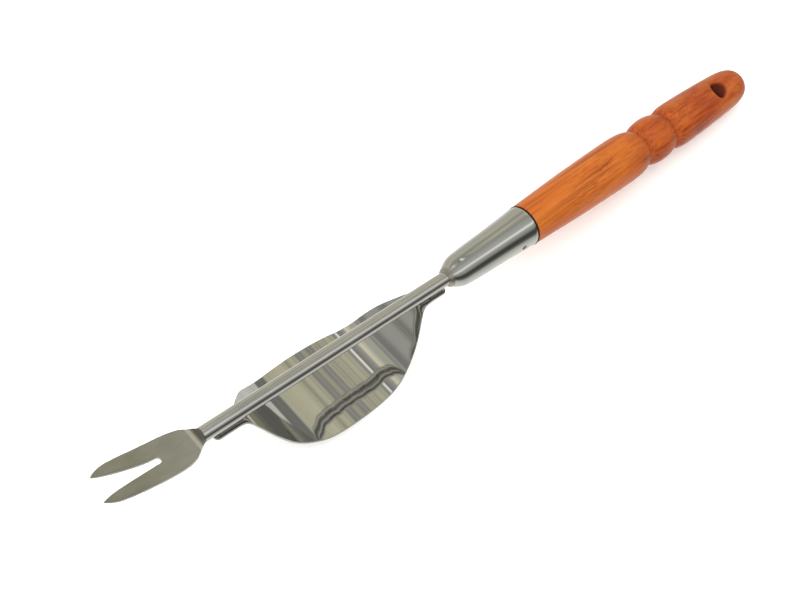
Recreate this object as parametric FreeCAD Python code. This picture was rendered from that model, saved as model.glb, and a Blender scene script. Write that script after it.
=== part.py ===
import FreeCAD, Part
import math
import os

# Hand weeder with a curved fulcrum plate, millimetres.
# Built along the shank's axis (X from fork to butt, Z up, X = 0 close to the neck), then tipped
# on to the surface it rests on and moved so that the origin is the bottom centre of the box.

# ---- driving dimensions ----
ROD_R = 3.5            # bar radius
TANG_END = 232.0       # end of the tang inside the handle

FORK_T = 1.9           # thickness of the forged blade
FORK_TOP = 1.35        # height of the flat blade's upper face over the shank's axis
FORK_BOW = 0.0045      # upward bow of the blade, z = FORK_BOW * (x - BOW_X)^2
BOW_X = -5.0
NECK_X = -1.9          # where the blade's ramp reaches the round bar
NECK_TAPER = 0.64      # the shoulder widens from the bar by this much for each millimetre
# outlines of the blade in plan, from the neck to the tips; the right tine (-Y) is about 2 mm longer
LEFT_OUT = [(-2.9, 4.3), (-4.3, 5.25), (-6.1, 6.3), (-8.0, 7.15), (-10.0, 7.8), (-12.5, 8.35), (-16.2, 8.85),
            (-20.5, 9.1), (-25.0, 9.3), (-30.0, 9.45), (-35.0, 9.5), (-39.0, 9.4), (-42.6, 9.0), (-45.4, 8.25),
            (-47.6, 7.25), (-49.4, 6.05)]
LEFT_IN = [(-49.4, 5.85), (-47.6, 5.3), (-45.0, 4.7), (-41.5, 4.0), (-37.5, 3.3), (-33.4, 2.65), (-29.3, 2.05), (-23.2, 1.6)]
RIGHT_OUT = [(-2.9, -4.3), (-4.3, -5.3), (-6.1, -6.4), (-8.0, -7.4), (-10.0, -8.15), (-12.5, -8.75), (-15.5, -9.05),
             (-20.5, -9.15), (-25.0, -9.1), (-30.0, -8.95), (-35.0, -8.8), (-39.0, -8.7), (-43.0, -8.5), (-46.9, -7.95),
             (-49.6, -7.0), (-51.4, -6.15)]
RIGHT_IN = [(-51.4, -6.0), (-49.8, -5.35), (-48.0, -4.75), (-44.5, -3.9), (-38.2, -2.95), (-30.0, -2.1), (-23.2, -1.6)]
SLOT_ROOT_X = -21.1    # root of the slot

PLATE_T = 1.2          # sheet thickness
PLATE_Z = -31.0        # middle of the sheet at the flat bottom, from the shank's axis
FRONT_SLOPE = 48.0     # slopes of the two sides, degrees
REAR_SLOPE = 51.0
FRONT_X = 20.0         # where the front side would meet the tongue without its bend
REAR_X = 120.2
FRONT_R = 37.0         # bends between the sides and the bottom (middle of the sheet)
REAR_R = 15.0
BEND_R = 5.0           # bends between the tongues and the sides
# (x, half width) of the sheet in plan
PLATE_PLAN = [(14.0, 4.45), (16.5, 4.55), (18.3, 4.95), (19.8, 5.8), (21.3, 7.1), (23.4, 9.0), (28.0, 12.9), (35.0, 16.7),
              (44.0, 19.5), (54.0, 21.6), (64.0, 22.4), (74.0, 22.4), (84.0, 21.8), (94.0, 20.4), (103.0, 17.8),
              (110.0, 14.1), (115.5, 9.6), (118.3, 7.1), (120.3, 5.7), (122.5, 4.9), (125.5, 4.5)]
TONGUE_W = 4.45        # half width of the tongues
TONGUE_X0 = 3.3        # front end of the front tongue
TONGUE_X1 = 136.0      # rear end of the rear tongue

WELD_F = (6.0, 14.5)   # front weld, from and to
WELD_R = (126.5, 134.0)

SET_X = 141.0          # the ferrule and handle are set up slightly from here
SET_DEG = 3.05
FER_X0 = 139.3         # ferrule nose
FER_X1 = 190.9         # ferrule rim
FER_WALL = 1.2
# outer profile of the ferrule
FER_OUT = [(139.3, 4.7), (140.3, 5.6), (142.2, 6.75), (144.6, 7.65), (147.8, 8.15), (151.5, 8.43), (167.0, 9.15), (178.4, 9.75),
           (190.9, 10.62)]
PIN_X = 181.5
PIN_R = 1.25
PIN_HEAD = 0.25        # how far the pin's domed ends stand out

HOLE_X = 336.6         # hanging hole
HOLE_R = 4.25
HOLE_TURN = 13.0       # turned about the handle's axis, towards -Y, degrees
HOLE_SOFT = 1.7        # rounding at the mouths
# outer profile of the handle, x and radius
GRIP = [(190.9, 10.56), (195.7, 10.76), (201.6, 11.0), (213.6, 11.5), (225.8, 11.95), (238.2, 12.24), (250.8, 12.48),
        (260.0, 12.53), (265.4, 12.4), (269.2, 12.0), (272.0, 11.35), (274.1, 10.5), (275.6, 9.5), (276.4, 8.6)]
BEAD = [(276.4, 8.6), (277.4, 9.75), (279.1, 10.95), (282.0, 11.9), (286.0, 12.28), (289.6, 12.12), (292.4, 11.55),
        (294.6, 10.7), (296.1, 9.7), (296.9, 8.9)]
TAIL = [(296.9, 8.9), (297.8, 10.15), (299.4, 11.25), (302.4, 12.0), (310.5, 12.15), (318.1, 11.97), (332.3, 11.45),
        (339.6, 11.08), (346.2, 10.7), (351.3, 10.15), (354.8, 9.35), (357.4, 8.15), (359.2, 6.5), (360.4, 4.4), (361.0, 2.2),
        (361.2, 0.0)]

V = FreeCAD.Vector


def spline(points, t0=None, t1=None):
    c = Part.BSplineCurve()
    kw = {}
    if t0 is not None and t1 is not None:
        kw = {"InitialTangent": t0, "FinalTangent": t1}
    c.interpolate(points, **kw)
    return c.toShape()


def revolve(edges):
    # closes the open profile (x, z=r) down to the axis and turns it about X
    first = edges[0].valueAt(edges[0].FirstParameter)
    last = edges[-1].valueAt(edges[-1].LastParameter)
    es = list(edges)
    pts = [last]
    if last.z > 1e-6:
        pts.append(V(last.x, 0, 0))
    pts.append(V(first.x, 0, 0))
    pts.append(first)
    for a, b in zip(pts[:-1], pts[1:]):
        if a.distanceToPoint(b) > 1e-6:
            es.append(Part.makeLine(a, b))
    face = Part.Face(Part.Wire(Part.__sortEdges__(es)))
    return face.revolve(V(0, 0, 0), V(1, 0, 0), 360)


# ---- fork and shank: one bar ----
def bow(x):
    return FORK_BOW * (x - BOW_X) ** 2 if x < BOW_X else 0.0


def make_fork():
    # side profile: flat blade that thins towards the tips, then a short ramp up to the round bar
    top, bot = [], []
    for x, t in ((-52.2, 1.0), (-48.0, 1.5), (-42.0, 1.75), (-34.0, FORK_T), (-26.0, FORK_T + 0.1), (-18.0, FORK_T + 0.25),
                 (-12.0, FORK_T + 0.45), (-5.6, FORK_T + 0.7)):
        drop = 0.2 * max(0.0, (-40.0 - x) / 12.2)
        top.append(V(x, 0, bow(x) + FORK_TOP - drop))
        bot.append(V(x, 0, bow(x) + FORK_TOP - drop - t))
    crease = V(-4.0, 0, FORK_TOP + 0.35)
    ramp_top = [crease, V(-3.3, 0, 2.38), V(-2.6, 0, 3.02), V(NECK_X, 0, ROD_R)]
    ramp_bot = [bot[-1], V(-4.6, 0, -1.9), V(-3.7, 0, -2.65), V(-2.8, 0, -3.2), V(NECK_X, 0, -ROD_R)]
    edges = [spline(top), Part.makeLine(top[-1], crease), spline(ramp_top), spline(bot), spline(ramp_bot),
             Part.makeLine(ramp_top[-1], ramp_bot[-1]), Part.makeLine(bot[0], top[0])]
    side = Part.Face(Part.Wire(Part.__sortEdges__(edges)))
    slab = side.extrude(V(0, 40, 0))
    slab.translate(V(0, -20, 0))
    # plan outline of the blade with its slot
    lo_ = [V(NECK_X, ROD_R, 0)] + [V(x, y, 0) for x, y in LEFT_OUT]
    ro_ = [V(NECK_X, -ROD_R, 0)] + [V(x, y, 0) for x, y in RIGHT_OUT]
    li_ = [V(x, y, 0) for x, y in LEFT_IN]
    ri_ = [V(x, y, 0) for x, y in RIGHT_IN]
    root = Part.Arc(li_[-1], V(SLOT_ROOT_X, 0, 0), ri_[-1]).toShape()
    edges = [spline(lo_), Part.makeLine(lo_[-1], li_[0]), spline(li_), root, spline(ri_), Part.makeLine(ro_[-1], ri_[0]),
             spline(ro_), Part.makeLine(ro_[0], lo_[0])]
    plan = Part.Face(Part.Wire(Part.__sortEdges__(edges)))
    prism = plan.extrude(V(0, 0, 60))
    prism.translate(V(0, 0, -20))
    # a cone round the bar takes the corners off the shoulder
    cone = Part.makeCone(ROD_R, ROD_R + NECK_TAPER * 90, 90, V(NECK_X, 0, 0), V(-1, 0, 0))
    return slab.common(prism).common(cone).Solids[0]


def make_bar():
    # round bar from the neck to the ferrule, then the tang, which follows the handle's set
    return Part.makeCylinder(ROD_R, SET_X - NECK_X, V(NECK_X, 0, 0), V(1, 0, 0))


def set_up(shape):
    # turns a shape of the handle end by the set angle about the nose of the ferrule
    s = shape.copy()
    s.rotate(V(SET_X, 0, 0), V(0, 1, 0), -SET_DEG)
    return s


blade = make_fork()
bar = make_bar()
tang = set_up(Part.makeCylinder(ROD_R, TANG_END - SET_X, V(SET_X, 0, 0), V(1, 0, 0)))
knuckle = Part.makeSphere(ROD_R, V(SET_X, 0, 0))
pin_hole = set_up(Part.makeCylinder(PIN_R, 40, V(PIN_X, -20, 0), V(0, 1, 0)))
fork_shank = blade.fuse([bar, knuckle, tang]).removeSplitter().cut(pin_hole)
rod_body = bar.fuse([knuckle, tang])

# ---- fulcrum plate ----
TONGUE_Z = -ROD_R - PLATE_T / 2      # middle of the sheet at the tongues


def side_line(off, x0, x1):
    # the sheet's side profile, shifted by off towards the shank: five straights joined by four tangent bends
    ta, tb = math.tan(math.radians(FRONT_SLOPE)), math.tan(math.radians(REAR_SLOPE))
    drop = TONGUE_Z - PLATE_Z
    mid = [V(x0, 0, TONGUE_Z), V(FRONT_X, 0, TONGUE_Z), V(FRONT_X + drop / ta, 0, PLATE_Z), V(REAR_X - drop / tb, 0, PLATE_Z),
           V(REAR_X, 0, TONGUE_Z), V(x1, 0, TONGUE_Z)]
    dirs = [(q - p).normalize() for p, q in zip(mid[:-1], mid[1:])]
    pts = [mid[0] + V(0, 0, off)]
    for k in range(1, 5):
        # the corner of the two shifted straights
        a, b = dirs[k - 1], dirs[k]
        na, nb = V(-a.z, 0, a.x), V(-b.z, 0, b.x)
        h = (na + nb).normalize()
        pts.append(mid[k] + h * (off / h.dot(na)))
    pts.append(mid[-1] + V(0, 0, off))
    radii = [BEND_R + off, FRONT_R - off, REAR_R - off, BEND_R + off]
    edges, at = [], pts[0]
    for k in range(1, 5):
        a, b = dirs[k - 1], dirs[k]
        t = radii[k - 1] * math.tan(a.getAngle(b) / 2)
        p, q = pts[k] - a * t, pts[k] + b * t
        h = (b - a).normalize()
        m = pts[k] + h * (radii[k - 1] / math.cos(a.getAngle(b) / 2) - radii[k - 1])
        edges += [Part.makeLine(at, p), Part.Arc(p, m, q).toShape()]
        at = q
    edges.append(Part.makeLine(at, pts[-1]))
    return edges, pts[0], pts[-1]


def make_plate():
    up, u0, u1 = side_line(PLATE_T / 2, TONGUE_X0 - 0.01, TONGUE_X1 + 0.01)
    dn, d0, d1 = side_line(-PLATE_T / 2, TONGUE_X0 - 0.01, TONGUE_X1 + 0.01)
    side = Part.Face(Part.Wire(Part.__sortEdges__(up + dn + [Part.makeLine(u0, d0), Part.makeLine(u1, d1)])))
    strip = side.extrude(V(0, 80, 0))
    strip.translate(V(0, -40, 0))
    es = [spline([V(x, w, 0) for x, w in PLATE_PLAN]), spline([V(x, -w, 0) for x, w in PLATE_PLAN])]
    rf = 2.2
    for x_end, (x_in, w), sgn in ((TONGUE_X0, PLATE_PLAN[0], 1), (TONGUE_X1, PLATE_PLAN[-1], -1)):
        k = rf * (1 - math.sqrt(0.5))
        for y in (1, -1):
            es.append(Part.makeLine(V(x_in, y * w, 0), V(x_end + sgn * rf, y * TONGUE_W, 0)))
            es.append(Part.Arc(V(x_end + sgn * rf, y * TONGUE_W, 0), V(x_end + sgn * k, y * (TONGUE_W - k), 0),
                               V(x_end, y * (TONGUE_W - rf), 0)).toShape())
        es.append(Part.makeLine(V(x_end, TONGUE_W - rf, 0), V(x_end, -TONGUE_W + rf, 0)))
    plan = Part.Face(Part.Wire(Part.__sortEdges__(es)))
    prism = plan.extrude(V(0, 0, 80))
    prism.translate(V(0, 0, -60))
    return strip.common(prism).Solids[0]


fulcrum_plate = make_plate()


# ---- weld beads between bar and tongues ----
def make_weld(span):
    beads = []
    for sgn in (1, -1):
        pts = [V(span[0], sgn * 0.9, -ROD_R), V(span[0], sgn * 3.3, -ROD_R), V(span[0], sgn * 2.75, -2.5),
               V(span[0], sgn * 2.2, -1.9), V(span[0], sgn * 0.9, -ROD_R + 0.6)]
        face = Part.Face(Part.makePolygon(pts + [pts[0]]))
        bead = face.extrude(V(span[1] - span[0], 0, 0)).cut(bar)
        beads += bead.Solids
    return Part.makeCompound(beads)


front_weld = make_weld(WELD_F)
rear_weld = make_weld(WELD_R)

# ---- ferrule, tenon and handle ----
fo = [V(x, 0, r) for x, r in FER_OUT]
ferrule_outer = revolve([spline(fo[:6]), spline(fo[5:])])
inner = [V(FER_X0 + 1.7, 0, 4.6), V(144.6, 0, FER_OUT[3][1] - FER_WALL - 0.25), V(147.8, 0, FER_OUT[4][1] - FER_WALL),
         V(151.5, 0, FER_OUT[5][1] - FER_WALL), V(167.0, 0, FER_OUT[6][1] - FER_WALL),
         V(178.4, 0, FER_OUT[7][1] - FER_WALL), V(FER_X1, 0, FER_OUT[8][1] - FER_WALL)]
ferrule_inner = revolve([Part.makeLine(a, b) for a, b in zip(inner[:-1], inner[1:])])
ferrule = set_up(ferrule_outer.cut(ferrule_inner)).cut(rod_body).cut(pin_hole)

gp = [V(x, 0, r) for x, r in GRIP]
bp = [V(x, 0, r) for x, r in BEAD]
tp = [V(x, 0, r) for x, r in TAIL]
e_grip = spline(gp)
e_bead = spline(bp)
e_tail = spline(tp)
grip_body = revolve([e_grip, e_bead, e_tail])
handle = set_up(grip_body).fuse(set_up(ferrule_inner))
hole_dir = V(0, -math.sin(math.radians(HOLE_TURN)), math.cos(math.radians(HOLE_TURN)))
hole = set_up(Part.makeCylinder(HOLE_R, 60, V(HOLE_X, 0, 0) - hole_dir * 30, hole_dir))
handle = handle.cut(rod_body).cut(pin_hole).cut(hole)
mouths = []
for e in handle.Edges:
    c = e.BoundBox.Center
    if e.BoundBox.DiagonalLength < 14 and 330 < c.x < 356 and e.Length > 8:
        mouths.append(e)
try:
    soft = handle.makeFillet(HOLE_SOFT, mouths)
    if soft.isValid():
        handle = soft
    else:
        print("mouth fillet not valid")
except Exception as err:
    print("mouth fillet skipped", err)
handle = handle.removeSplitter()

pin = Part.makeCylinder(PIN_R, 40, V(PIN_X, -20, 0), V(0, 1, 0))
dome_r = None
r_at = FER_OUT[7][1] + (FER_OUT[8][1] - FER_OUT[7][1]) * (PIN_X - FER_OUT[7][0]) / (FER_OUT[8][0] - FER_OUT[7][0])
pin_env = Part.makeCylinder(r_at + PIN_HEAD, 20, V(PIN_X - 10, 0, 0), V(1, 0, 0))
ferrule_pin = set_up(pin.common(pin_env))

# weld ring round the bar at the ferrule's nose
ring = [V(FER_X0 - 1.9, 0, ROD_R - 0.5), V(FER_X0 - 1.9, 0, ROD_R + 0.25), V(FER_X0 - 1.2, 0, ROD_R + 1.0),
        V(FER_X0 - 0.4, 0, ROD_R + 1.5), V(FER_X0 + 1.0, 0, ROD_R + 1.6), V(FER_X0 + 1.0, 0, ROD_R - 0.5)]
weld = Part.Face(Part.makePolygon(ring + [ring[0]])).revolve(V(0, 0, 0), V(1, 0, 0), 360)
ferrule_weld = weld.cut(rod_body).cut(set_up(ferrule_outer))

nodes = {
    "fork_shank": fork_shank, "fulcrum_plate": fulcrum_plate, "front_weld": front_weld, "rear_weld": rear_weld,
    "ferrule": ferrule, "ferrule_weld": ferrule_weld, "ferrule_pin": ferrule_pin, "handle": handle,
}

# ---- tip the tool on to the surface it rests on: rocker and butt ----
low = [V(p.x, 0, -p.z) for p in e_tail.discretize(200)]
low = [FreeCAD.Rotation(V(0, 1, 0), -SET_DEG).multVec(p - V(SET_X, 0, 0)) + V(SET_X, 0, 0) for p in low]


under = []
for e in side_line(-PLATE_T / 2, TONGUE_X0, TONGUE_X1)[0]:
    under += e.discretize(60)


def gap(pitch):
    # height of the butt's lowest point over the plate's, for a pitch in radians
    c, s = math.cos(pitch), math.sin(pitch)
    return min(-p.x * s + p.z * c for p in low) - min(-p.x * s + p.z * c for p in under)


a, b = 0.0, 0.3
for _ in range(60):
    m = (a + b) / 2
    if gap(m) > 0:
        a = m
    else:
        b = m
PITCH = math.degrees((a + b) / 2)


def place(shape, dx=0.0, dz=0.0):
    s = shape.copy()
    s.rotate(V(0, 0, 0), V(0, 1, 0), PITCH)
    s.translate(V(dx, 0, dz))
    return s


box = FreeCAD.BoundBox()
for s in nodes.values():
    p = place(s)
    p.tessellate(0.05)
    box.add(p.optimalBoundingBox(False, False))
DX, DZ = -(box.XMin + box.XMax) / 2, -box.ZMin

if __name__ == "__main__":
    os.makedirs("parts", exist_ok=True)
    for name, shape in nodes.items():
        out = place(shape, DX, DZ)
        if len(out.Solids) == 1:
            out = out.Solids[0]
        out.exportStep("parts/%s.step" % name)
        print(name, "valid", out.isValid(), "solids", len(out.Solids), "volume", round(out.Volume, 1))
    rot = FreeCAD.Rotation(V(0, 1, 0), PITCH)
    hp = FreeCAD.Rotation(V(0, 1, 0), -SET_DEG).multVec(V(HOLE_X - SET_X, 0, 0)) + V(SET_X, 0, 0)
    ha = FreeCAD.Rotation(V(0, 1, 0), -SET_DEG).multVec(hole_dir)
    print("pitch", PITCH, "dx", DX, "dz", DZ, "box", box.XLength, box.YLength, box.ZLength)
    print("hole pos", rot.multVec(hp) + V(DX, 0, DZ), "axis", rot.multVec(ha))
    best = min(under, key=lambda p: rot.multVec(p).z)
    print("plate rests at", rot.multVec(best) + V(DX, 0, DZ), "x", best.x)
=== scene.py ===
import bpy
import bmesh
import math
from mathutils import Matrix, Vector


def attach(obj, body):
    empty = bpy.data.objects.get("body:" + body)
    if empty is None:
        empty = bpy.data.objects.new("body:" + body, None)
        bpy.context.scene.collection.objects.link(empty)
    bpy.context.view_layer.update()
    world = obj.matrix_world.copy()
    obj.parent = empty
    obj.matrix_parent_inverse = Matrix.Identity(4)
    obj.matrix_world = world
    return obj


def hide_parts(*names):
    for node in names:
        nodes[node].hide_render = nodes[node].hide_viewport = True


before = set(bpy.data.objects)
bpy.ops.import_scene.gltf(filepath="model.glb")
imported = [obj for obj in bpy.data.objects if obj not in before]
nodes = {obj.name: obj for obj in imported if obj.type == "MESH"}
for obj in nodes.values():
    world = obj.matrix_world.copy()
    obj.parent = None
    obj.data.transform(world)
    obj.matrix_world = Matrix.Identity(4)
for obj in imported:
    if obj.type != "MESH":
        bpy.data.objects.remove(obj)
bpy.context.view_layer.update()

# ---------------------------------------------------------------- tool frame to row frame
PITCH = math.radians(7.136675403756232)
DX, DZ = -0.15488739200212925, 0.042814149002246886
SET_X, SET = 141.0, math.radians(3.05)      # the ferrule and handle are set up by this, from this x


def row(x, y, z):
    # millimetres along the shank to metres in the row frame
    x, y, z = x / 1000.0, y / 1000.0, z / 1000.0
    return Vector((x * math.cos(PITCH) + z * math.sin(PITCH) + DX, y, -x * math.sin(PITCH) + z * math.cos(PITCH) + DZ))


def turn(v):
    return Vector((v[0] * math.cos(PITCH) + v[2] * math.sin(PITCH), v[1], -v[0] * math.sin(PITCH) + v[2] * math.cos(PITCH)))


# ---------------------------------------------------------------- material helpers
def new_mat(name):
    m = bpy.data.materials.new(name)
    m.use_nodes = True
    nt = m.node_tree
    for n in list(nt.nodes):
        nt.nodes.remove(n)
    out = nt.nodes.new("ShaderNodeOutputMaterial")
    bs = nt.nodes.new("ShaderNodeBsdfPrincipled")
    nt.links.new(bs.outputs["BSDF"], out.inputs["Surface"])
    return m, nt, bs


def N(nt, kind, **kw):
    n = nt.nodes.new(kind)
    for k, v in kw.items():
        if k.startswith("i_"):
            n.inputs[k[2:].replace("_", " ")].default_value = v
        else:
            setattr(n, k, v)
    return n


def L(nt, a, b):
    nt.links.new(a, b)


def ramp(nt, fac, stops, interp="LINEAR"):
    r = nt.nodes.new("ShaderNodeValToRGB")
    r.color_ramp.interpolation = interp
    els = r.color_ramp.elements
    while len(els) > 1:
        els.remove(els[-1])
    els[0].position = stops[0][0]
    els[0].color = (*stops[0][1], 1) if len(stops[0][1]) == 3 else stops[0][1]
    for p, c in stops[1:]:
        e = els.new(p)
        e.color = (*c, 1) if len(c) == 3 else c
    L(nt, fac, r.inputs["Fac"])
    return r.outputs["Color"]


def mapping(nt, scale, loc=(0, 0, 0), rot=(0, 0, 0)):
    tc = nt.nodes.new("ShaderNodeTexCoord")
    mp = nt.nodes.new("ShaderNodeMapping")
    L(nt, tc.outputs["Object"], mp.inputs["Vector"])
    mp.inputs["Location"].default_value = loc
    mp.inputs["Rotation"].default_value = rot
    mp.inputs["Scale"].default_value = scale
    return mp.outputs["Vector"]


def noise(nt, vec, scale, detail=4.0, rough=0.5, distortion=0.0):
    n = nt.nodes.new("ShaderNodeTexNoise")
    n.inputs["Scale"].default_value = scale
    n.inputs["Detail"].default_value = detail
    n.inputs["Roughness"].default_value = rough
    n.inputs["Distortion"].default_value = distortion
    L(nt, vec, n.inputs["Vector"])
    return n.outputs["Fac"]


def math_node(nt, op, a, b=None, clamp=False):
    m = nt.nodes.new("ShaderNodeMath")
    m.operation = op
    m.use_clamp = clamp
    for i, v in enumerate((a, b)):
        if v is None:
            continue
        if isinstance(v, (int, float)):
            m.inputs[i].default_value = v
        else:
            L(nt, v, m.inputs[i])
    return m.outputs[0]


def mix_rgb(nt, fac, a, b, mode="MIX"):
    m = nt.nodes.new("ShaderNodeMix")
    m.data_type = "RGBA"
    m.blend_type = mode
    if isinstance(fac, (int, float)):
        m.inputs[0].default_value = fac
    else:
        L(nt, fac, m.inputs[0])
    for i, v in ((6, a), (7, b)):
        if isinstance(v, tuple):
            m.inputs[i].default_value = (*v, 1) if len(v) == 3 else v
        else:
            L(nt, v, m.inputs[i])
    return m.outputs[2]


def bump(nt, bs, height, strength, distance):
    b = nt.nodes.new("ShaderNodeBump")
    b.inputs["Strength"].default_value = strength
    b.inputs["Distance"].default_value = distance
    L(nt, height, b.inputs["Height"])
    L(nt, b.outputs["Normal"], bs.inputs["Normal"])


AX = (0.0, PITCH, 0.0)   # the shank's direction in the row frame


# ---------------------------------------------------------------- shapes
def handle_end(x, y, z):
    # a point of the ferrule or handle, given before its set, in the row frame
    c, q = math.cos(SET), math.sin(SET)
    dx = x - SET_X
    return row(SET_X + dx * c - z * q, y, dx * q + z * c)


def smooth_curve(pts, n):
    # natural cubic spline through (x, r), as x and r over the chord length, n points a span
    k = len(pts)
    u = [0.0]
    for (x0, r0), (x1, r1) in zip(pts[:-1], pts[1:]):
        u.append(u[-1] + math.hypot(x1 - x0, r1 - r0))
    out = []
    coef = []
    for ax in (0, 1):
        v = [p[ax] for p in pts]
        h = [u[i + 1] - u[i] for i in range(k - 1)]
        A = [[0.0] * k for _ in range(k)]
        b = [0.0] * k
        A[0][0] = A[k - 1][k - 1] = 1.0
        for i in range(1, k - 1):
            A[i][i - 1], A[i][i], A[i][i + 1] = h[i - 1], 2 * (h[i - 1] + h[i]), h[i]
            b[i] = 3 * ((v[i + 1] - v[i]) / h[i] - (v[i] - v[i - 1]) / h[i - 1])
        for i in range(1, k):          # tridiagonal, so plain elimination is enough
            f = A[i][i - 1] / A[i - 1][i - 1]
            for j in range(k):
                A[i][j] -= f * A[i - 1][j]
            b[i] -= f * b[i - 1]
        m = [0.0] * k
        for i in range(k - 1, -1, -1):
            m[i] = (b[i] - (A[i][i + 1] * m[i + 1] if i + 1 < k else 0.0)) / A[i][i]
        coef.append((v, h, m))
    for i in range(k - 1):
        for j in range(n):
            t = (u[i + 1] - u[i]) * j / n
            p = []
            for v, h, m in coef:
                bb = (v[i + 1] - v[i]) / h[i] - h[i] * (2 * m[i] + m[i + 1]) / 3
                dd = (m[i + 1] - m[i]) / (3 * h[i])
                p.append(v[i] + bb * t + m[i] * t * t + dd * t ** 3)
            out.append(tuple(p))
    out.append(tuple(pts[-1]))
    return out


def link(name, me, mats, sharp=None):
    o = bpy.data.objects.new(name, me)
    bpy.context.scene.collection.objects.link(o)
    for m in mats:
        me.materials.append(m)
    for p in me.polygons:
        p.use_smooth = True
    if sharp is not None:
        me.set_sharp_from_angle(angle=math.radians(sharp))
    return o


def lathe(name, prof, mats, place=handle_end, seg=160, sharp=35, close=False):
    # prof: (x, r, material index of the band that starts here)
    bm = bmesh.new()
    rings = []
    for x, r, _ in prof:
        ring = []
        for i in range(seg):
            a = 2 * math.pi * i / seg
            ring.append(bm.verts.new(place(x, r * math.sin(a), r * math.cos(a))))
        rings.append(ring)
    spans = list(zip(rings[:-1], rings[1:], [p[2] for p in prof]))
    if close:
        spans.append((rings[-1], rings[0], prof[-1][2]))
    for ra, rb, mi in spans:
        for i in range(seg):
            f = bm.faces.new((ra[i], ra[(i + 1) % seg], rb[(i + 1) % seg], rb[i]))
            f.material_index = mi
    bmesh.ops.recalc_face_normals(bm, faces=bm.faces)
    me = bpy.data.meshes.new(name)
    bm.to_mesh(me)
    bm.free()
    return link(name, me, mats, sharp)


# ---------------------------------------------------------------- steels
def steel(name, base, dark, rough_lo, rough_hi, streak, bump_s, along=(60, 900, 900), waves=None, dist=0.0002, streak_h=0.02, flat=None, neck=None):
    m, nt, bs = new_mat(name)
    bs.inputs["Metallic"].default_value = 1.0
    v = mapping(nt, along, rot=(0, -PITCH, 0))
    s = noise(nt, v, 1.0, 5, 0.6)
    v2 = mapping(nt, (35, 35, 35))
    b = noise(nt, v2, 1.0, 3, 0.5)
    mixf = math_node(nt, "ADD", math_node(nt, "MULTIPLY", s, streak), math_node(nt, "MULTIPLY", b, 1 - streak))
    L(nt, ramp(nt, mixf, [(0.3, dark), (0.65, base)]), bs.inputs["Base Color"])
    r = nt.nodes.new("ShaderNodeMapRange")
    r.inputs["From Min"].default_value = 0.3
    r.inputs["From Max"].default_value = 0.7
    r.inputs["To Min"].default_value = rough_lo
    r.inputs["To Max"].default_value = rough_hi
    L(nt, mixf, r.inputs["Value"])
    L(nt, r.outputs[0], bs.inputs["Roughness"])
    h = math_node(nt, "MULTIPLY", s, streak_h)
    if waves:
        # shallow rolling waves across the sheet, in metres of height along the shank
        vx = mapping(nt, (1, 1, 1), rot=(0, -PITCH, 0))
        sx = nt.nodes.new("ShaderNodeSeparateXYZ")
        L(nt, vx, sx.inputs[0])
        wob = noise(nt, mapping(nt, (30, 9, 30), rot=(0, -PITCH, 0)), 1.0, 2, 0.5)
        for length, height, shift in waves:
            ph = math_node(nt, "ADD", math_node(nt, "MULTIPLY", sx.outputs[0], 2 * math.pi / length),
                           math_node(nt, "MULTIPLY", wob, shift))
            w = math_node(nt, "MULTIPLY", math_node(nt, "SINE", ph), height)
            h = math_node(nt, "ADD", h, w)
    if flat:
        # the flat bottom stands a little rear up against the bends
        vx = mapping(nt, (1, 1, 1), rot=(0, -PITCH, 0))
        sx = nt.nodes.new("ShaderNodeSeparateXYZ")
        L(nt, vx, sx.inputs[0])
        up = nt.nodes.new("ShaderNodeMapRange")
        up.inputs["From Min"].default_value = flat[0]
        up.inputs["From Max"].default_value = flat[1]
        up.inputs["To Max"].default_value = flat[2]
        L(nt, sx.outputs[0], up.inputs["Value"])
        h = math_node(nt, "ADD", h, up.outputs[0])
    if neck:
        # painted shade on the shoulder between blade and bar, where its ramp faces away from the light
        vx = mapping(nt, (1, 1, 1), rot=(0, -PITCH, 0))
        sx = nt.nodes.new("ShaderNodeSeparateXYZ")
        L(nt, vx, sx.inputs[0])
        neck_painted_shade = ramp(nt, math_node(nt, "MULTIPLY", math_node(nt, "ADD", sx.outputs[0], neck), 50.0),
                    [(0.0, (0, 0, 0)), (0.16, (0, 0, 0)), (0.24, (1, 1, 1)), (0.42, (1, 1, 1)), (0.50, (0, 0, 0))])
        col = mix_rgb(nt, math_node(nt, "MULTIPLY", neck_painted_shade, 0.85), bs.inputs["Base Color"].links[0].from_socket, (0.15, 0.145, 0.13))
        L(nt, col, bs.inputs["Base Color"])
        # painted highlight along the crease at the foot of the shoulder
        crease_painted_highlight = ramp(nt, math_node(nt, "MULTIPLY", math_node(nt, "ADD", sx.outputs[0], neck), 50.0),
                    [(0.0, (0, 0, 0)), (0.09, (0, 0, 0)), (0.12, (1, 1, 1)), (0.165, (1, 1, 1)), (0.20, (0, 0, 0))])
        L(nt, mix_rgb(nt, math_node(nt, "MULTIPLY", crease_painted_highlight, 0.8), col, (0.85, 0.80, 0.66)), bs.inputs["Base Color"])
    bump(nt, bs, h, bump_s, dist)
    return m


mat_plate = steel("plate_polished", (0.58, 0.575, 0.55), (0.46, 0.455, 0.42), 0.04, 0.08, 0.7, 1.0, along=(330, 7, 330),
                  waves=[(0.021, 0.050, 0.5), (0.0068, 0.018, 0.7)], dist=0.001, streak_h=0.003, flat=(-0.0925, -0.0605, 1.15))
mat_ferrule = steel("ferrule_polished", (0.57, 0.57, 0.55), (0.49, 0.49, 0.465), 0.07, 0.13, 0.6, 1.0, along=(25, 420, 420),
                    waves=[(0.06, 0.05, 2.0)], dist=0.001, streak_h=0.008)
mat_rod = steel("shank_polished", (0.62, 0.61, 0.59), (0.50, 0.49, 0.47), 0.14, 0.22, 0.6, 0.05)
mat_weld = steel("weld_steel", (0.50, 0.48, 0.44), (0.36, 0.34, 0.31), 0.28, 0.45, 0.3, 0.25, along=(900, 300, 300))
mat_pin = steel("pin_steel", (0.30, 0.29, 0.27), (0.22, 0.21, 0.20), 0.25, 0.40, 0.5, 0.05)
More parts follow.
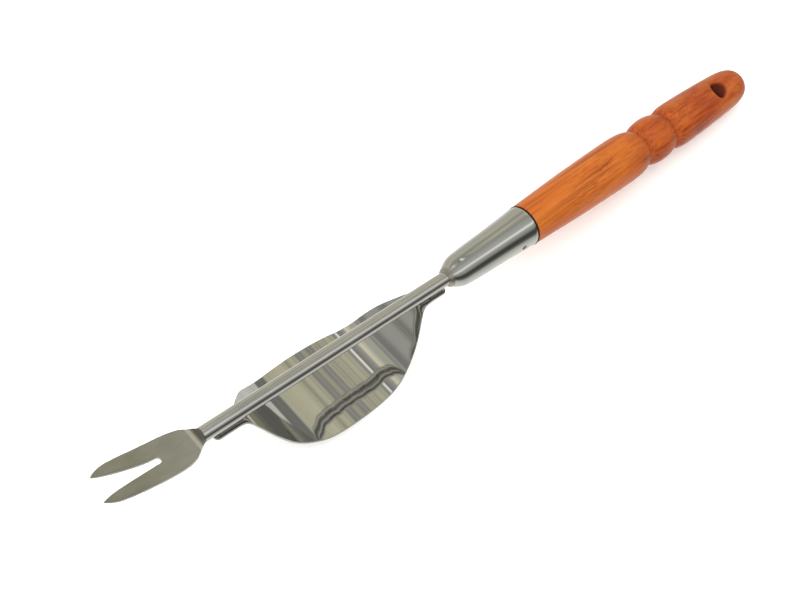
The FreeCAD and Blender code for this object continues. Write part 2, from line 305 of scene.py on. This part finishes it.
mat_blade = steel("blade_satin", (0.47, 0.46, 0.41), (0.27, 0.265, 0.235), 0.28, 0.42, 0.35, 0.15, along=(40, 240, 240), neck=0.167)
# near-black material for the ring at the ferrule's rim: painted shade of the joint gap
mat_rim_gap_shade, nt, bs = new_mat("rim_gap_painted_shade")
bs.inputs["Base Color"].default_value = (0.012, 0.009, 0.009, 1)
bs.inputs["Roughness"].default_value = 0.7
bs.inputs["Specular IOR Level"].default_value = 0.1


# ---------------------------------------------------------------- wood



def wood(name):
    m, nt, bs = new_mat(name)
    rot = (0, -PITCH + SET, 0)
    # broad colour drift, long in the grain
    drift = noise(nt, mapping(nt, (9, 75, 75), rot=rot), 1.0, 4, 0.55, 0.6)
    grain = noise(nt, mapping(nt, (9, 560, 560), rot=rot), 1.0, 6, 0.66, 0.4)
    fine = noise(nt, mapping(nt, (60, 2200, 2200), rot=rot), 1.0, 3, 0.6)
    blotch = noise(nt, mapping(nt, (45, 90, 90), loc=(0.3, 0, 0), rot=rot), 1.0, 3, 0.55, 0.5)
    col = ramp(nt, drift, [(0.28, (0.40, 0.080, 0.012)), (0.45, (0.50, 0.120, 0.016)), (0.60, (0.57, 0.158, 0.020)),
                           (0.78, (0.49, 0.112, 0.015))])
    # the turned end is redder and darker than the grip
    vx = mapping(nt, (1, 1, 1), rot=rot)
    sx = nt.nodes.new("ShaderNodeSeparateXYZ")
    L(nt, vx, sx.inputs[0])
    end = nt.nodes.new("ShaderNodeMapRange")
    end.inputs["From Min"].default_value = 0.095
    end.inputs["From Max"].default_value = 0.125
    L(nt, sx.outputs[0], end.inputs["Value"])
    red = ramp(nt, blotch, [(0.30, (0.27, 0.032, 0.008)), (0.48, (0.40, 0.070, 0.011)), (0.66, (0.50, 0.125, 0.015))])
    col = mix_rgb(nt, math_node(nt, "MULTIPLY", end.outputs[0], 0.8), col, red)
    g = ramp(nt, grain, [(0.34, (0.42, 0.28, 0.24)), (0.46, (0.82, 0.75, 0.72)), (0.58, (1, 1, 1))])
    col = mix_rgb(nt, 0.75, col, g, "MULTIPLY")
    # pores: short dark dashes along the grain, in patches
    pores = noise(nt, mapping(nt, (170, 2100, 2100), rot=rot), 1.0, 2, 0.5)
    patch = noise(nt, mapping(nt, (22, 60, 60), loc=(1.7, 0.4, 0), rot=rot), 1.0, 2, 0.5)
    pm = ramp(nt, pores, [(0.54, (0, 0, 0)), (0.66, (1, 1, 1))])
    pk = ramp(nt, patch, [(0.42, (0.10, 0.10, 0.10)), (0.62, (1, 1, 1))])
    pf = math_node(nt, "MULTIPLY", math_node(nt, "MULTIPLY", pm, pk), 0.60)
    col = mix_rgb(nt, pf, col, (0.15, 0.022, 0.006))
    # end grain at the butt, darker
    butt = nt.nodes.new("ShaderNodeMapRange")
    butt.inputs["From Min"].default_value = 0.199
    butt.inputs["From Max"].default_value = 0.206
    butt.inputs["To Max"].default_value = 0.45
    L(nt, sx.outputs[0], butt.inputs["Value"])
    col = mix_rgb(nt, butt.outputs[0], col, (0.22, 0.035, 0.010))
    # inside the hanging hole: painted shade, dark red-brown by distance from the hole's axis
    tc = nt.nodes.new("ShaderNodeTexCoord")
    rel = nt.nodes.new("ShaderNodeVectorMath")
    rel.operation = "SUBTRACT"
    L(nt, tc.outputs["Object"], rel.inputs[0])
    rel.inputs[1].default_value = HOLE_AT
    cr = nt.nodes.new("ShaderNodeVectorMath")
    cr.operation = "CROSS_PRODUCT"
    L(nt, rel.outputs[0], cr.inputs[0])
    cr.inputs[1].default_value = HOLE_AX
    ln = nt.nodes.new("ShaderNodeVectorMath")
    ln.operation = "LENGTH"
    L(nt, cr.outputs[0], ln.inputs[0])
    hole_painted_shade = nt.nodes.new("ShaderNodeMapRange")
    hole_painted_shade.inputs["From Min"].default_value = 0.0044
    hole_painted_shade.inputs["From Max"].default_value = 0.0056
    hole_painted_shade.inputs["To Min"].default_value = 0.93
    hole_painted_shade.inputs["To Max"].default_value = 0.0
    L(nt, ln.outputs["Value"], hole_painted_shade.inputs["Value"])
    col = mix_rgb(nt, hole_painted_shade.outputs[0], col, (0.17, 0.034, 0.018))
    L(nt, col, bs.inputs["Base Color"])
    rr = nt.nodes.new("ShaderNodeMapRange")
    rr.inputs["To Min"].default_value = 0.34
    rr.inputs["To Max"].default_value = 0.46
    L(nt, fine, rr.inputs["Value"])
    L(nt, rr.outputs[0], bs.inputs["Roughness"])
    bs.inputs["Coat Weight"].default_value = 0.16
    bs.inputs["Coat Roughness"].default_value = 0.20
    bs.inputs["Specular IOR Level"].default_value = 0.18
    h = math_node(nt, "SUBTRACT", math_node(nt, "MULTIPLY", grain, 0.4), math_node(nt, "MULTIPLY", pf, 0.9))
    bump(nt, bs, h, 0.25, 0.00022)
    return m


HOLE_AT = (0.18012289, 0.00000000, 0.01135725)
HOLE_AX = (0.06943895, -0.22495105, 0.97189262)
mat_wood = wood("lacquered_wood")


def assign(node, mat):
    o = nodes[node]
    if not o.data.materials:
        o.data.materials.append(mat)
    for i in range(len(o.material_slots)):
        o.material_slots[i].material = mat
    for i in range(len(o.data.materials)):
        o.data.materials[i] = mat


for nd, mt in (("front_weld", mat_weld), ("rear_weld", mat_weld), ("ferrule_weld", mat_weld), ("ferrule_pin", mat_pin),
               ("handle", mat_wood), ("fork_shank", mat_blade), ("fulcrum_plate", mat_plate), ("ferrule", mat_ferrule)):
    assign(nd, mt)


def baked(src, voxel, rounds, factor=0.5, keep=None, name="baked"):
    # the CAD node remeshed fine and relaxed, so that its edges are softly rounded; keep(v) drops the rest
    bm = bmesh.new()
    bm.from_mesh(src.data)
    bm.transform(src.matrix_world)
    bmesh.ops.remove_doubles(bm, verts=bm.verts, dist=1e-6)
    if keep is not None:
        co, no = keep
        geom = list(bm.verts) + list(bm.edges) + list(bm.faces)
        bmesh.ops.bisect_plane(bm, geom=geom, plane_co=co, plane_no=no, clear_outer=True)
        edges = [e for e in bm.edges if e.is_boundary]
        bmesh.ops.holes_fill(bm, edges=edges, sides=0)
    me = bpy.data.meshes.new(name + "_src")
    bm.to_mesh(me)
    bm.free()
    o = bpy.data.objects.new(name + "_src", me)
    bpy.context.scene.collection.objects.link(o)
    rm = o.modifiers.new("remesh", "REMESH")
    rm.mode = "VOXEL"
    rm.voxel_size = voxel
    rm.use_smooth_shade = True
    sm = o.modifiers.new("relax", "SMOOTH")
    sm.factor = factor
    sm.iterations = rounds
    dg = bpy.context.evaluated_depsgraph_get()
    out = bpy.data.meshes.new_from_object(o.evaluated_get(dg))
    out.name = name
    bpy.data.objects.remove(o, do_unlink=True)
    return out


# ---------------------------------------------------------------- blade and shank
blade_me = baked(nodes["fork_shank"], 0.00022, 5, keep=(row(-0.9, 0, 0), turn((1, 0, 0))), name="fork_shank_blade")
bm = bmesh.new()
bm.from_mesh(blade_me)
for f in bm.faces:
    f.material_index = 0
seg = 128
rings = []
xs = [-1.7, -1.4] + [-1.0 + 3.0 * i for i in range(48)]
for x in xs:
    rr_ = 3.5 if x > -1.5 else 3.42
    rings.append([bm.verts.new(row(x, rr_ * math.sin(2 * math.pi * i / seg), rr_ * math.cos(2 * math.pi * i / seg))) for i in range(seg)])
for ra, rb in zip(rings[:-1], rings[1:]):
    for i in range(seg):
        f = bm.faces.new((ra[i], rb[i], rb[(i + 1) % seg], ra[(i + 1) % seg]))
        f.material_index = 1
for ring_, flip in ((rings[0], False), (rings[-1], True)):
    f = bm.faces.new(ring_ if not flip else list(reversed(ring_)))
    f.material_index = 1
me = bpy.data.meshes.new("fork_shank_visual")
bm.to_mesh(me)
bm.free()
shank = link("fork_shank_visual", me, [mat_blade, mat_rod], 60)
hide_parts("fork_shank")
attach(shank, "root")

# ---------------------------------------------------------------- fulcrum plate
PLAN = [(14.0, 4.45), (16.5, 4.55), (18.3, 4.95), (19.8, 5.8), (21.3, 7.1), (23.4, 9.0), (28.0, 12.9), (35.0, 16.7),
        (44.0, 19.5), (54.0, 21.6), (64.0, 22.4), (74.0, 22.4), (84.0, 21.8), (94.0, 20.4), (103.0, 17.8),
        (110.0, 14.1), (115.5, 9.6), (118.3, 7.1), (120.3, 5.7), (122.5, 4.9), (125.5, 4.5)]
PLAN_FINE = smooth_curve(PLAN, 24)
X0, X1, TW, RF = 3.3, 136.0, 4.45, 2.2


def half_width(x):
    x = min(max(x, X0), X1)
    if x < X0 + RF:
        return TW - RF + math.sqrt(max(RF * RF - (X0 + RF - x) ** 2, 0.0))
    if x > X1 - RF:
        return TW - RF + math.sqrt(max(RF * RF - (x - X1 + RF) ** 2, 0.0))
    if x <= PLAN[0][0] or x >= PLAN[-1][0]:
        return 4.45
    for (a, wa), (b, wb) in zip(PLAN_FINE[:-1], PLAN_FINE[1:]):
        if a <= x <= b:
            return wa + (wb - wa) * (x - a) / max(b - a, 1e-9)
    return 4.45


def side_points():
    # the middle of the sheet: points and unit normals (towards the shank), in x and z
    tz, pz = -4.1, -31.0
    ta, tb = math.tan(math.radians(48.0)), math.tan(math.radians(51.0))
    mid = [(X0, tz), (20.0, tz), (20.0 + (tz - pz) / ta, pz), (120.2 - (tz - pz) / tb, pz), (120.2, tz), (X1, tz)]
    rad = [5.0, 37.0, 15.0, 5.0]
    out = []

    def straight(a, b, step):
        d = math.hypot(b[0] - a[0], b[1] - a[1])
        n = max(1, int(d / step))
        t = ((b[0] - a[0]) / d, (b[1] - a[1]) / d)
        return [((a[0] + (b[0] - a[0]) * i / n, a[1] + (b[1] - a[1]) * i / n), (-t[1], t[0])) for i in range(n)]

    at = mid[0]
    # the rounded front end needs close sections
    for i in range(12):
        out.append(((X0 + RF * (1 - math.cos(math.pi / 2 * i / 12)), tz), (0.0, 1.0)))
    at = (X0 + RF, tz)
    for k in range(1, 5):
        a = (mid[k][0] - mid[k - 1][0], mid[k][1] - mid[k - 1][1])
        b = (mid[k + 1][0] - mid[k][0], mid[k + 1][1] - mid[k][1])
        la, lb = math.hypot(*a), math.hypot(*b)
        a, b = (a[0] / la, a[1] / la), (b[0] / lb, b[1] / lb)
        turn_by = math.atan2(a[0] * b[1] - a[1] * b[0], a[0] * b[0] + a[1] * b[1])
        t = rad[k - 1] * math.tan(abs(turn_by) / 2)
        p = (mid[k][0] - a[0] * t, mid[k][1] - a[1] * t)
        out += straight(at, p, 0.9)
        sg = 1.0 if turn_by > 0 else -1.0
        c = (p[0] - sg * a[1] * rad[k - 1], p[1] + sg * a[0] * rad[k - 1])
        n = max(10, int(abs(turn_by) * rad[k - 1] / 0.6))
        for i in range(n):
            th = turn_by * i / n
            v = (p[0] - c[0], p[1] - c[1])
            q = (c[0] + v[0] * math.cos(th) - v[1] * math.sin(th), c[1] + v[0] * math.sin(th) + v[1] * math.cos(th))
            d = (a[0] * math.cos(th) - a[1] * math.sin(th), a[0] * math.sin(th) + a[1] * math.cos(th))
            out.append((q, (-d[1], d[0])))
        at = (mid[k][0] + b[0] * t, mid[k][1] + b[1] * t)
    out += straight(at, (X1 - RF, tz), 0.9)
    for i in range(13):
        out.append(((X1 - RF + RF * math.sin(math.pi / 2 * i / 12), tz), (0.0, 1.0)))
    return out


bm = bmesh.new()
HALF, ER = 0.6, 0.28
cross = []        # (fraction of the inner half width, how far in from the edge, offset from the middle)
cols = 26
for i in range(cols + 1):
    cross.append((-1 + 2 * i / cols, 0.75, HALF))
arc = [(0.75, HALF), (0.42, HALF)] + [(ER - ER * math.sin(t * math.pi / 8), HALF - ER + ER * math.cos(t * math.pi / 8)) for t in range(5)]
edge_top = arc[1:]
section = [(s_, 0.75, HALF) for s_, _, _ in cross]
section += [(1.0, e, o) for e, o in edge_top]
section += [(1.0, e, -o) for e, o in reversed(edge_top)]
section += [(s_, 0.75, -HALF) for s_, _, _ in reversed(cross)]
section += [(-1.0, e, -o) for e, o in edge_top]
section += [(-1.0, e, o) for e, o in reversed(edge_top)]
rings = []
for (x, z), (nx, nz) in side_points():
    ring = []
    for f_, e, o in section:
        px, pz_ = x + nx * o, z + nz * o
        px = min(max(px, X0), X1)
        w = half_width(px)
        yy = f_ * (w - e) if abs(f_) < 1 else math.copysign(w - e, f_)
        ring.append(bm.verts.new(row(px, yy, pz_)))
    rings.append(ring)
m_ = len(section)
for ra, rb in zip(rings[:-1], rings[1:]):
    for i in range(m_):
        bm.faces.new((ra[i], ra[(i + 1) % m_], rb[(i + 1) % m_], rb[i]))
bm.faces.new(rings[0])
bm.faces.new(list(reversed(rings[-1])))
bmesh.ops.recalc_face_normals(bm, faces=bm.faces)
me = bpy.data.meshes.new("fulcrum_plate_visual")
bm.to_mesh(me)
bm.free()
plate = link("fulcrum_plate_visual", me, [mat_plate], 50)
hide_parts("fulcrum_plate")
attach(plate, "root")

# ---------------------------------------------------------------- ferrule, with a near-black ring at its rim as painted shade of the joint gap
FO = [(139.3, 4.7), (140.3, 5.6), (142.2, 6.75), (144.6, 7.65), (147.8, 8.15), (151.5, 8.43), (167.0, 9.15), (178.4, 9.75),
      (189.7, 10.54)]
prof = [(139.3, 3.6, 0)] + [(x, r, 0) for x, r in smooth_curve(FO, 8)]
prof += [(189.8, 10.5, 1), (189.9, 10.56, 1), (190.1, 10.66, 1), (190.5, 10.68, 1), (190.75, 10.6, 1), (190.85, 10.3, 1), (190.85, 9.4, 1)]
ferr = lathe("ferrule_visual", prof, [mat_ferrule, mat_rim_gap_shade], sharp=40)
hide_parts("ferrule")
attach(ferr, "root")

# ---------------------------------------------------------------- handle
hme = baked(nodes["handle"], 0.0004, 4, name="handle_visual")
for p in hme.polygons:
    p.use_smooth = True
hand = bpy.data.objects.new("handle_visual", hme)
bpy.context.scene.collection.objects.link(hand)
hme.materials.clear()
hme.materials.append(mat_wood)
for p in hme.polygons:
    p.material_index = 0
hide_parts("handle")
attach(hand, "root")

# ---------------------------------------------------------------- floor
bm = bmesh.new()
bmesh.ops.create_grid(bm, x_segments=8, y_segments=8, size=3.0)
me = bpy.data.meshes.new("floor")
bm.to_mesh(me)
bm.free()
floor = bpy.data.objects.new("floor", me)
bpy.context.scene.collection.objects.link(floor)
mf, nt, bs = new_mat("floor_pale")
bs.inputs["Base Color"].default_value = (0.92, 0.92, 0.92, 1)
bs.inputs["Roughness"].default_value = 0.6
bs.inputs["Specular IOR Level"].default_value = 0.2
bs.inputs["Emission Color"].default_value = (1.0, 1.0, 1.0, 1)
bs.inputs["Emission Strength"].default_value = 0.20
me.materials.append(mf)
floor.visible_glossy = False      # the room's own gradient below the horizon stands in for it in the steel

# a plain pale backdrop for low views; it throws no light, shadow or reflection
bm = bmesh.new()
bmesh.ops.create_uvsphere(bm, u_segments=96, v_segments=48, radius=2.95)
bmesh.ops.delete(bm, geom=[v for v in bm.verts if v.co.z < -0.25], context="VERTS")
me = bpy.data.meshes.new("backdrop")
bm.to_mesh(me)
bm.free()
drop = bpy.data.objects.new("backdrop", me)
bpy.context.scene.collection.objects.link(drop)
md, nt, bs = new_mat("backdrop_pale")
bs.inputs["Base Color"].default_value = (0.0, 0.0, 0.0, 1)
bs.inputs["Specular IOR Level"].default_value = 0.0
bs.inputs["Emission Color"].default_value = (0.93, 0.93, 0.93, 1)
bs.inputs["Emission Strength"].default_value = 1.0
me.materials.append(md)
drop.visible_glossy = False
drop.visible_diffuse = False
drop.visible_transmission = False
drop.visible_shadow = False

# ---------------------------------------------------------------- light
world = bpy.data.worlds.new("studio")
bpy.context.scene.world = world
world.use_nodes = True
wn = world.node_tree
for n in list(wn.nodes):
    wn.nodes.remove(n)
wo = wn.nodes.new("ShaderNodeOutputWorld")
bg = wn.nodes.new("ShaderNodeBackground")
wn.links.new(bg.outputs[0], wo.inputs[0])
bg.inputs["Strength"].default_value = 1.0
tc = wn.nodes.new("ShaderNodeTexCoord")
sep = wn.nodes.new("ShaderNodeSeparateXYZ")
wn.links.new(tc.outputs["Generated"], sep.inputs[0])


def g(v, tint=(1.0, 1.0, 0.95)):
    v *= 1.30
    return (v * tint[0], v * tint[1], v * tint[2])


WARM = (1.0, 0.965, 0.73)
# a room seen in the polished steel: panels and gaps across the tool, from the butt's side (180) to the fork's (0)
along_ = math_node(wn, "ADD", math_node(wn, "DIVIDE", math_node(wn, "ARCTAN2", sep.outputs[2], sep.outputs[0]), 2 * math.pi), 0.5)
room_x = ramp(wn, along_, [((d + 180) / 360.0, c) for d, c in (
    (-180, g(0.60)), (-3, g(0.60)), (0, g(0.20)), (17, g(0.21)), (20, g(0.27)), (23, g(0.53, WARM)), (51, g(0.58, WARM)),
    (57, g(0.53, WARM)), (58.2, g(0.22)), (59.2, g(0.62, WARM)), (60.0, g(0.28)), (60.8, g(0.50, WARM)), (62, g(0.24)), (64, g(0.34)), (65.5, g(0.92)), (71, g(0.92)),
    (73, g(0.26)), (78, g(0.27)), (92, g(0.36)), (101, g(0.42)), (107, g(0.74, WARM)), (114, g(0.74, WARM)), (121, g(0.50)),
    (134, g(0.52, WARM)), (142, g(0.44)), (149, g(0.26)), (153, g(0.44)), (155.5, g(0.18)), (158, g(0.20)), (160, g(0.56)),
    (163, g(0.24)), (180, g(0.26)))])
# and round the tool's length, from under the near side (0) to under the far side (1)
across_ = math_node(wn, "ADD", math_node(wn, "DIVIDE", math_node(wn, "ARCTAN2", sep.outputs[1], sep.outputs[2]), 2 * math.pi), 0.5)
room_y = ramp(wn, across_, [((d + 180) / 360.0, c) for d, c in (
    (-180, g(0.75)), (-140, g(0.72)), (-126, g(0.62)), (-113, g(0.50)), (-103, g(0.20)), (-92, g(0.07)), (-75, g(0.07)), (-66, g(0.27)),
    (-54, g(0.38)), (-46, g(0.50)), (-40, g(0.95)), (-35, g(0.95)), (-29, g(0.50)), (-12, g(0.42)), (10, g(0.33)), (40, g(0.33)),
    (52, g(0.42)), (60, g(0.56, WARM)), (78, g(0.50, WARM)), (98, g(0.50)), (112, g(0.62)), (130, g(0.75)), (180, g(0.75)))])
lat = wn.nodes.new("ShaderNodeMapRange")
lat.interpolation_type = "SMOOTHSTEP"
lat.inputs["From Min"].default_value = 0.10
lat.inputs["From Max"].default_value = 0.20
lat.inputs["To Min"].default_value = 1.0
lat.inputs["To Max"].default_value = 0.0
wn.links.new(math_node(wn, "ABSOLUTE", math_node(wn, "SUBTRACT", sep.outputs[1], 0.34)), lat.inputs["Value"])
room = mix_rgb(wn, lat.outputs[0], room_y, room_x)
wn.links.new(room, bg.inputs["Color"])


def area(name, loc, target, size, power, color=(1, 1, 1), size_y=None, glossy=True):
    ld = bpy.data.lights.new(name, "AREA")
    ld.energy = power
    ld.color = color
    ld.shape = "RECTANGLE"
    ld.size = size
    ld.size_y = size_y or size
    o = bpy.data.objects.new(name, ld)
    bpy.context.scene.collection.objects.link(o)
    o.location = loc
    d = Vector(target) - Vector(loc)
    o.rotation_euler = d.to_track_quat("-Z", "Y").to_euler()
    o.visible_glossy = glossy
    return o


area("key", (-1.0, -1.3, 1.15), (0, 0, 0), 1.0, 13, glossy=False)
area("back", (-0.95, 1.25, 1.2), (0, 0, 0), 1.1, 13, glossy=False)
area("end", (2.0, 0.1, 0.62), (0, 0, 0), 0.9, 3, glossy=False)
area("top", (-0.05, 0.1, 2.2), (0, 0, 0), 2.6, 34, glossy=False)

# ---------------------------------------------------------------- camera
CAM_C = (-155.0471, -184.4494, 422.8961)
F_PX = 1174.14

RV = Vector((2.4126576, -0.8550907, 0.5052869))
ang = RV.length
Rm = Matrix.Rotation(ang, 3, RV.normalized())   # rows: right, down, forward in the shank's frame
right, down, fwd = turn(Rm[0]), turn(Rm[1]), turn(Rm[2])
cam_d = bpy.data.cameras.new("camera")
cam_d.sensor_width = 36.0
cam_d.lens = F_PX * 36.0 / 800.0
cam_d.clip_start = 0.01
cam_o = bpy.data.objects.new("camera", cam_d)
bpy.context.scene.collection.objects.link(cam_o)
rot = Matrix((right, -down, -fwd)).transposed()
cam_o.matrix_world = Matrix.Translation(row(*CAM_C)) @ rot.to_4x4()
bpy.context.scene.camera = cam_o

bpy.context.scene.view_settings.view_transform = "Standard"
